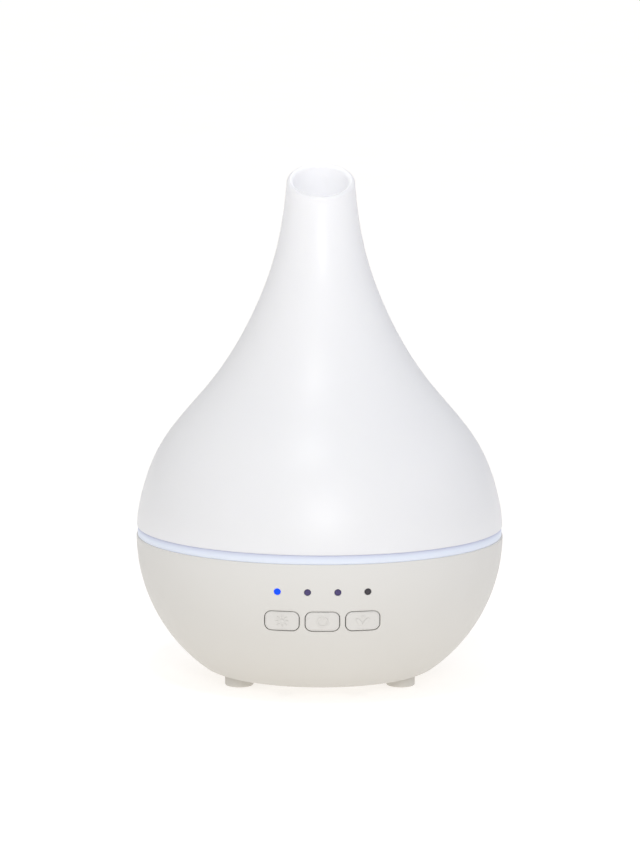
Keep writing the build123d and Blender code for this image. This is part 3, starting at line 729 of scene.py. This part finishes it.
def add_feet(shape):
    """Feet with rounded lower edges, each hollow below for its pad."""
    low = FOOT_EDGE - FOOT_DROP
    seat = PAD_HEIGHT - FOOT_DROP
    inner = PAD_RADIUS + 0.1
    profile = rounded([(inner, seat), (inner, low), (FOOT_RADIUS, low), (FOOT_RADIUS, BOWL_FLOOR + WALL / 2)],
                      [0, 0.2, 0.9, 0], closed=False)
    for place in foot_places():
        shape.lathe([(0, seat)] + profile + [(0, BOWL_FLOOR + WALL / 2)], 64, place)


def add_posts(shape):
    """Posts inside the bowl that the tank's screws come up through."""
    low = BOWL_FLOOR + WALL / 2
    for place in TANK_SCREW_PLACES:
        profile = [(0, low), (TANK_POST_RADIUS, low), (TANK_POST_RADIUS, TANK_POST_TOP), (0, TANK_POST_TOP)]
        shape.lathe(profile, 40, place)


def add_screw_holes(shape):
    """Each screw's sunk hole, with an eased edge on the underside."""
    wide, narrow = TANK_SCREW_RECESS, TANK_SCREW_HOLE
    low, high = -1.0, 12.0      # clear of the wall and of the post
    profile = [(0, low), (wide + 0.3, low), (wide + 0.3, BOWL_FLOOR), (wide, BOWL_FLOOR + 0.3),
               (wide, TANK_SCREW_SEAT), (narrow, TANK_SCREW_SEAT), (narrow, high), (0, high)]
    for place in TANK_SCREW_PLACES:
        shape.lathe(profile, 40, place)


def add_slots(shape):
    """The air intake: parallel slots with round ends and eased lower edges."""
    ease = 0.35
    levels = [(ease, BOWL_FLOOR - 0.4), (ease, BOWL_FLOOR), (0.1, BOWL_FLOOR + 0.12), (0.0, BOWL_FLOOR + ease),
              (0.0, BOWL_FLOOR + WALL + 0.5)]
    for i in range(-3, 4):
        x = SLOT_PITCH * i
        length = 2 * math.sqrt(INTAKE_RADIUS ** 2 - x ** 2)
        loops = []
        for grow, z in levels:
            outline = bar_outline(length + 2 * grow, SLOT_WIDTH + 2 * grow, (x, INTAKE_PLACE[1]), math.pi / 2)
            loops.append(shape.loop([(u, v, z) for u, v in outline]))
        shape.chain(loops)
        shape.cap(loops[0], (x, INTAKE_PLACE[1], levels[0][1]))
        shape.cap(loops[-1], (x, INTAKE_PLACE[1], levels[-1][1]))


def combined(obj, shape, operation):
    """The object's mesh joined with a shape, or cut by it."""
    tool = bpy.data.objects.new("tool", shape.mesh("tool"))
    bpy.context.scene.collection.objects.link(tool)
    modifier = obj.modifiers.new("combine", "BOOLEAN")
    modifier.operation = operation
    modifier.solver = "EXACT"
    modifier.use_self = False
    modifier.object = tool
    seen = obj.evaluated_get(bpy.context.evaluated_depsgraph_get())
    mesh = bpy.data.meshes.new_from_object(seen)
    obj.modifiers.clear()
    obj.data = mesh
    bpy.data.objects.remove(tool)


def bowl():
    mesh = bowl_shape().mesh("bowl")
    obj = bpy.data.objects.new("bowl", mesh)
    bpy.context.scene.collection.objects.link(obj)
    added, taken = Shape(), Shape()
    add_feet(added)
    add_posts(added)
    add_slots(taken)
    add_screw_holes(taken)
    combined(obj, added, "UNION")
    combined(obj, taken, "DIFFERENCE")
    tidy_mesh(obj.data)
    finished(obj, "base", BOWL, ["base_shell"])


def flat_plate(name, outlines, thickness, edge):
    """A flat plate with rounded edges, filled between its outlines; the result lies about z = 0, in metres."""
    curve = bpy.data.curves.new(name, "CURVE")
    curve.dimensions = "2D"
    curve.fill_mode = "BOTH"
    curve.extrude = (thickness / 2 - edge) * MM
    curve.bevel_depth = edge * MM
    curve.offset = -edge * MM
    curve.bevel_resolution = 2
    for outline in outlines:
        spline = curve.splines.new("POLY")
        spline.points.add(len(outline) - 1)
        for point, (x, y) in zip(spline.points, outline):
            point.co = (x * MM, y * MM, 0, 1)
        spline.use_cyclic_u = True
    holder = bpy.data.objects.new(name, curve)
    mesh = bpy.data.meshes.new_from_object(holder)
    mesh.name = name
    bpy.data.objects.remove(holder)
    tidy_mesh(mesh)
    return mesh


def foot_pads():
    shape = Shape()
    low, high = -FOOT_DROP, PAD_HEIGHT - FOOT_DROP
    for place in foot_places():
        profile = rounded([(0.5, low), (PAD_RADIUS, low), (PAD_RADIUS, high), (0.5, high)], [0, 0.4, 0.2, 0])
        shape.lathe([(0, low)] + profile + [(0, high)], 40, place)
    shape.piece("foot_pads_visible", "base", PAD, ["foot_pads"])


# ---- buttons ----
def button_cap(name, body, node, x):
    """A cap that follows the bowl's face, with rounded edges and a slightly hollow top."""
    shape = Shape()
    width, height = BUTTON_SIZE
    places = np.arange(0, 4, 4 / BUTTON_POINTS)

    def ring(scale, inward, sink):
        """A ring of the cap's outline: drawn in to a share of its size, then by a margin, at a depth."""
        w, h = width * scale - 2 * inward, height * scale - 2 * inward
        corner = max(BUTTON_CORNER * scale - inward, 0.05)
        points = []
        for place in places:
            u, v = rounded_point(w, h, min(corner, w / 2 - 0.01, h / 2 - 0.01), place)
            u, z = x + u, BUTTON_HEIGHT + BUTTON_SIT + v
            points.append(FRONT.point(u, z, FRONT.surface(u, z) + BUTTON_PROUD - sink))
        return shape.loop(points)

    edge = BUTTON_EDGE
    loops = []
    for scale in (0.15, 0.35, 0.55, 0.75, 0.9):
        loops.append(ring(scale, 0.0, DISH * (1 - scale ** 2)))
    for a in np.linspace(0, math.pi / 2, 6):
        loops.append(ring(1.0, edge * (1 - math.sin(a)), edge * (1 - math.cos(a))))
    loops += [ring(1.0, 0.0, 1.8), ring(1.0, 0.02, BUTTON_DEPTH)]
    shape.chain(loops)
    middle = FRONT.surface(x, BUTTON_HEIGHT) + BUTTON_PROUD - DISH
    shape.cap(loops[0], FRONT.point(x, BUTTON_HEIGHT, middle))
    back = FRONT.surface(x, BUTTON_HEIGHT) + BUTTON_PROUD - BUTTON_DEPTH
    shape.cap(loops[-1], FRONT.point(x, BUTTON_HEIGHT, back))
    return shape.piece(name, body, BUTTON, [node], sharp=50.0)


def turned_outline(points, angle, shift=(0.0, 0.0)):
    c, s = math.cos(angle), math.sin(angle)
    return [(shift[0] + x * c - y * s, shift[1] + x * s + y * c) for x, y in points]


def circle_outline(radius):
    count = 24
    return arc((0, 0), radius, 0, 2 * math.pi * (count - 1) / count, count)


def bar_outline(length, width, centre=(0.0, 0.0), angle=0.0):
    """A stroke with round ends."""
    ends = arc((length / 2 - width / 2, 0), width / 2, -math.pi / 2, math.pi / 2, 7)
    ends += arc((width / 2 - length / 2, 0), width / 2, math.pi / 2, 3 * math.pi / 2, 7)
    return turned_outline(ends, angle, centre)


def light_icon():
    """A dot with eight rays."""
    outlines = [circle_outline(0.95)]
    for i in range(8):
        angle = math.pi * i / 4
        outlines.append(bar_outline(1.35, 0.5, (2.35 * math.cos(angle), 2.35 * math.sin(angle)), angle))
    return outlines


def power_icon():
    """A ring open at the top with a short stroke in the opening."""
    gap = math.radians(24)
    start, end = math.pi / 2 + gap, 5 * math.pi / 2 - gap
    ring = arc((0, 0), 2.5, start, end, 40) + arc((0, 0), 1.95, end, start, 40)
    return [ring, bar_outline(2.4, 0.55, (0, 1.75), math.pi / 2)]


def mist_icon():
    """Two leaves that open upwards, with a small drop between them."""
    leaf = [(0.85 * math.cos(a), 2.1 * math.sin(a)) for a in np.linspace(0, 2 * math.pi, 28, endpoint=False)]
    tilt = math.radians(40)
    left = turned_outline(leaf, tilt, (-1.55, -0.25))
    right = turned_outline(leaf, -tilt, (1.55, -0.25))
    drop = [(0.6, 2.0), (0, 2.75), (-0.6, 2.0), (0, 1.25)]
    return [left, right, drop]


def button_icon(name, body, outlines, x):
    """A raised symbol laid on the button's face."""
    mesh = flat_plate(name, outlines, 2 * ICON_PROUD, 0.14)
    for vertex in mesh.vertices:
        u, v, rise = (c / MM for c in vertex.co)
        u, z = x + u, BUTTON_HEIGHT + BUTTON_SIT + v
        reach = FRONT.surface(u, z) + BUTTON_PROUD - DISH + rise
        vertex.co = placed(FRONT.point(u, z, reach))
    tidy_mesh(mesh)
    finished(bpy.data.objects.new(name, mesh), body, BUTTON)


def buttons():
    icons = {"light": light_icon(), "power": power_icon(), "mist": mist_icon()}
    for i, (kind, outlines) in enumerate(icons.items()):
        x = (i - 1) * BUTTON_PITCH
        button_cap(f"{kind}_button_cap", f"{kind}_button", f"button_{kind}", x)
        button_icon(f"{kind}_symbol", f"{kind}_button", outlines, x)


def indicators():
    """Ends of the light pipes: short rods with slightly domed tips, just below the bowl's face."""
    finishes = [("lens_lit", LIT), ("lens_dark", DARK), ("lens_dark", DARK), ("lens_dark", GREY)]
    for i, (x, (slot, material)) in enumerate(zip(LENS_PLACES, finishes), start=1):
        shape = Shape()
        angles = np.linspace(0, 2 * math.pi, 40, endpoint=False)
        loops = []
        dome = [(0.4, 0.02), (0.8, 0.06), (1.1, 0.13), (1.3, 0.24), (1.42, 0.42), (LENS_RADIUS, 0.7),
                (LENS_RADIUS, LENS_LENGTH)]
        for radius, sink in dome:
            points = []
            for a in angles:
                u, z = x + radius * math.cos(a), LENS_HEIGHT + radius * math.sin(a)
                points.append(FRONT.point(u, z, FRONT.surface(u, z) - LENS_SINK - sink))
            loops.append(shape.loop(points))
        shape.chain(loops)
        face = FRONT.surface(x, LENS_HEIGHT) - LENS_SINK
        shape.cap(loops[0], FRONT.point(x, LENS_HEIGHT, face))
        shape.cap(loops[-1], FRONT.point(x, LENS_HEIGHT, face - LENS_LENGTH))
        shape.piece(f"indicator_{i}", "base", material, [f"indicator_lens_{i}"])


# ---- covers, band and tank ----
def outer_cover():
    """Dome and neck: the rings lean over towards the slanted mouth, and the lip is a full round."""
    shape = Shape()
    curve = Outline(COVER_POINTS, (0, 1), (-0.07, 1))
    outside = curve.sampled(260)
    inside = curve.sampled(260, (COVER_WALL, LIP_WALL))
    angles = np.linspace(0, 2 * math.pi, 144, endpoint=False)
    lip = LIP_WALL / 2
    top = MOUTH_HEIGHT - lip

    def mouth(angle, radius):
        """How far the slanted mouth is above or below its centre."""
        return -radius * math.cos(angle) * math.tan(MOUTH_TILT)

    def ring(profile, height):
        share = min(max((height - NECK_START) / (top - NECK_START), 0.0), 1.0)
        share = share * share * (3 - 2 * share)
        points = []
        for a in angles:
            z = height
            for _ in range(4):
                r = float(np.interp(z, profile[:, 1], profile[:, 0]))
                z = height + share * mouth(a, r)
            points.append((r * math.sin(a), -r * math.cos(a), z))
        return points

    base = COVER_POINTS[0][1]
    edge = COVER_EDGE
    heights = np.concatenate([np.linspace(base + edge, NECK_START, 64), np.linspace(NECK_START, top, 22)[1:]])
    outer = [ring(outside, h) for h in heights]
    inner = [ring(inside, h) for h in heights]
    loops = []
    widest = COVER_POINTS[0][0]
    low_outer = [(widest - edge + edge * math.cos(a), base + edge - edge * math.sin(a))
                 for a in np.linspace(math.pi / 2, 0, 5)[:-1]]
    for r, z in [(widest - COVER_WALL, base)] + low_outer:
        loops.append([(r * math.sin(a), -r * math.cos(a), z) for a in angles])
    loops += outer
    leaning = np.array([0, -math.sin(MOUTH_TILT), math.cos(MOUTH_TILT)])
    for t in np.linspace(0, math.pi, 11)[1:-1]:
        points = []
        for a, b in zip(outer[-1], inner[-1]):
            a, b = np.array(a), np.array(b)
            centre, half = (a + b) / 2, (a - b) / 2
            points.append(centre + half * math.cos(t) + leaning * np.linalg.norm(half) * math.sin(t))
        loops.append(points)
    loops += inner[::-1]
    rings = [shape.loop(points) for points in loops]
    shape.chain(rings)
    shape.bridge(rings[-1], rings[0])
    shape.piece("outer_cover_shell", "outer_cover", COVER, ["outer_cover"], sharp=60.0)


def light_band():
    """The band between bowl and cover: its visible face is slightly crowned."""
    low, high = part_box("light_ring")
    outer, bottom, top = high.x / MM, low.z / MM - FOOT_DROP, high.z / MM - FOOT_DROP
    wall = outer - BAND_WALL
    ledge = FLANGE_TOP - 2.0
    profile = rounded([(BAND_INNER, bottom), (outer - 0.1, bottom), (outer, (bottom + top) / 2),
                       (outer - 0.1, top), (wall, top), (wall, ledge), (BAND_INNER, ledge)],
                      [0.2, 0.3, 20, 0.4, 0.3, 0.2, 0.2])
    shape = Shape()
    shape.lathe(profile, 192)
    shape.piece("light_band", "base", BAND, ["light_ring"])


def inner_cover():
    """Low dome with a chimney that has a rounded top edge."""
    top_radius = CHIMNEY_RADIUS - 0.6
    dome = [(SKIRT_RADIUS, SKIRT_TOP), (68.0, 92.0), (40.0, 110.0), (CHIMNEY_RADIUS + 0.4, CHIMNEY_FOOT)]
    curve = Outline(dome, (0, 1), (-0.04, 1))
    outside = [(SKIRT_RADIUS, FLANGE_TOP)] + [tuple(p) for p in curve.sampled(48)]
    inside = [tuple(p) for p in curve.sampled(48, (INNER_WALL, INNER_WALL))]
    lip = INNER_WALL / 2
    round_top = arc((top_radius - lip, CHIMNEY_TOP - lip), lip, 0, math.pi, 7)
    profile = outside + round_top + inside[::-1] + [(SKIRT_RADIUS - INNER_WALL, FLANGE_TOP)]
    shape = Shape()
    shape.lathe(profile, 128)
    shape.piece("inner_cover_shell", "inner_cover", INNER, ["inner_cover"])


# ---- inner pieces that keep their CAD shape ----
CAD_FINISHES = {
    "water_tank": TANK, "air_duct": TANK, "rim_gasket": SEAL, "disc_seal": SEAL,
    "piezo_disc": SILVER, "disc_clamp": CLAMP,
    "tank_screws": STEEL, "clamp_screws": STEEL, "fan_screws": STEEL, "control_board_screws": STEEL,
    "main_board_screws": STEEL, "ring_board_screws": STEEL, "fan_frame": FAN, "fan_rotor": FAN,
    "fan_coil": COPPER, "driver_coils": COPPER, "air_guide": BLACK, "plunger_light": SWITCH,
    "plunger_power": SWITCH, "plunger_mist": SWITCH, "tact_switches": CLAMP, "control_board": BOARD,
    "main_board": BOARD, "ring_board": BOARD, "indicator_lamps": LAMP, "ring_lamps": LAMP,
    "heat_sink": ALUMINIUM, "capacitors": SLEEVE, "board_connectors": HEADER, "control_ribbon": RIBBON,
    "dc_jack": BLACK, "dc_pin": NICKEL,
}


def cad_finishes():
    for name, material in CAD_FINISHES.items():
        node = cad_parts[name]
        node.data.materials.clear()
        node.data.materials.append(material)


# ---- camera, lights and floor ----
CAMERA_DISTANCE = 2.0
CAMERA_AZIMUTH = math.radians(-1.0)
CAMERA_ELEVATION = math.radians(8.13)
CAMERA_PIVOT = Vector((0, 0, 0.1232))
CAMERA_AIM = Vector((0, 0, 0.1162))
CAMERA_LENS = 184.3
CAMERA_ROLL = math.radians(0.2)


def camera():
    data = bpy.data.cameras.new("camera")
    data.lens = CAMERA_LENS
    data.sensor_width = 36.0
    data.clip_start = 0.05
    data.clip_end = 60.0
    obj = bpy.data.objects.new("camera", data)
    bpy.context.scene.collection.objects.link(obj)
    back = Vector((math.sin(CAMERA_AZIMUTH) * math.cos(CAMERA_ELEVATION),
                   -math.cos(CAMERA_AZIMUTH) * math.cos(CAMERA_ELEVATION), math.sin(CAMERA_ELEVATION)))
    obj.location = CAMERA_PIVOT + back * CAMERA_DISTANCE
    aim = (CAMERA_AIM - obj.location).to_track_quat("-Z", "Y").to_matrix().to_4x4()
    obj.rotation_euler = (aim @ Matrix.Rotation(CAMERA_ROLL, 4, "Z")).to_euler()
    bpy.context.scene.camera = obj


def area_light(name, place, aim, size, power):
    data = bpy.data.lights.new(name, "AREA")
    data.shape = "RECTANGLE"
    data.size, data.size_y = size
    data.energy = power
    obj = bpy.data.objects.new(name, data)
    obj.location = place
    obj.rotation_euler = (Vector(aim) - Vector(place)).to_track_quat("-Z", "Y").to_euler()
    bpy.context.scene.collection.objects.link(obj)


def floor():
    """A wide pale floor."""
    mesh = bpy.data.meshes.new("floor")
    rim = [(30 * math.cos(a), 30 * math.sin(a), 0) for a in np.linspace(0, 2 * math.pi, 64, endpoint=False)]
    mesh.from_pydata(rim, [], [tuple(range(64))])
    finish = Finish("floor_paper", 0.9)
    finish.link(finish.ramp(finish.noise(60.0, 2.0), [(0.3, (0.49, 0.49, 0.49, 1)), (0.7, (0.51, 0.51, 0.51, 1))]),
                "Base Color")
    finish.shader.inputs["Specular IOR Level"].default_value = 0.0
    finish.shader.inputs["Emission Color"].default_value = (1.0, 0.97, 0.94, 1.0)
    finish.shader.inputs["Emission Strength"].default_value = 0.67
    mesh.materials.append(finish.material)
    obj = bpy.data.objects.new("floor", mesh)
    bpy.context.scene.collection.objects.link(obj)


def surroundings():
    """A soft studio: brightest overhead, darker at both sides, bluish on the right, with a broad front light."""
    scene = bpy.context.scene
    world = bpy.data.worlds.new("studio")
    scene.world = world
    world.use_nodes = True
    nodes, links = world.node_tree.nodes, world.node_tree.links
    way = nodes.new("ShaderNodeSeparateXYZ")
    links.new(nodes.new("ShaderNodeTexCoord").outputs["Generated"], way.inputs[0])

    def math_node(operation, *values):
        made = nodes.new("ShaderNodeMath")
        made.operation = operation
        for place, value in enumerate(values):
            if isinstance(value, bpy.types.NodeSocket):
                links.new(value, made.inputs[place])
            else:
                made.inputs[place].default_value = value
        return made.outputs[0]

    upwards = math_node("MULTIPLY_ADD", math_node("MAXIMUM", way.outputs["Z"], 0.0), 0.45, 0.5)
    sideways = math_node("MULTIPLY", way.outputs["X"], way.outputs["X"])
    background = nodes["Background"]
    tint = nodes.new("ShaderNodeValToRGB")
    tint.color_ramp.elements[0].color = (1.0, 1.0, 1.0, 1.0)
    tint.color_ramp.elements[1].color = (0.97, 1.0, 1.1, 1.0)
    links.new(math_node("MAXIMUM", way.outputs["X"], 0.0), tint.inputs["Fac"])
    links.new(tint.outputs["Color"], background.inputs["Color"])
    links.new(math_node("MULTIPLY", upwards, math_node("MULTIPLY_ADD", sideways, -0.45, 1.0)),
              background.inputs["Strength"])
    scene.view_settings.view_transform = "Standard"
    area_light("key", (0.1, -2.1, 0.9), (0, 0, 0.1), (0.5, 0.5), 10.0)
    area_light("overhead", (-0.15, -0.75, 1.5), (0, -0.05, 0.05), (0.12, 0.12), 3.0)


camera()
surroundings()
floor()
bowl()
foot_pads()
buttons()
indicators()
outer_cover()
light_band()
inner_cover()
cad_finishes()
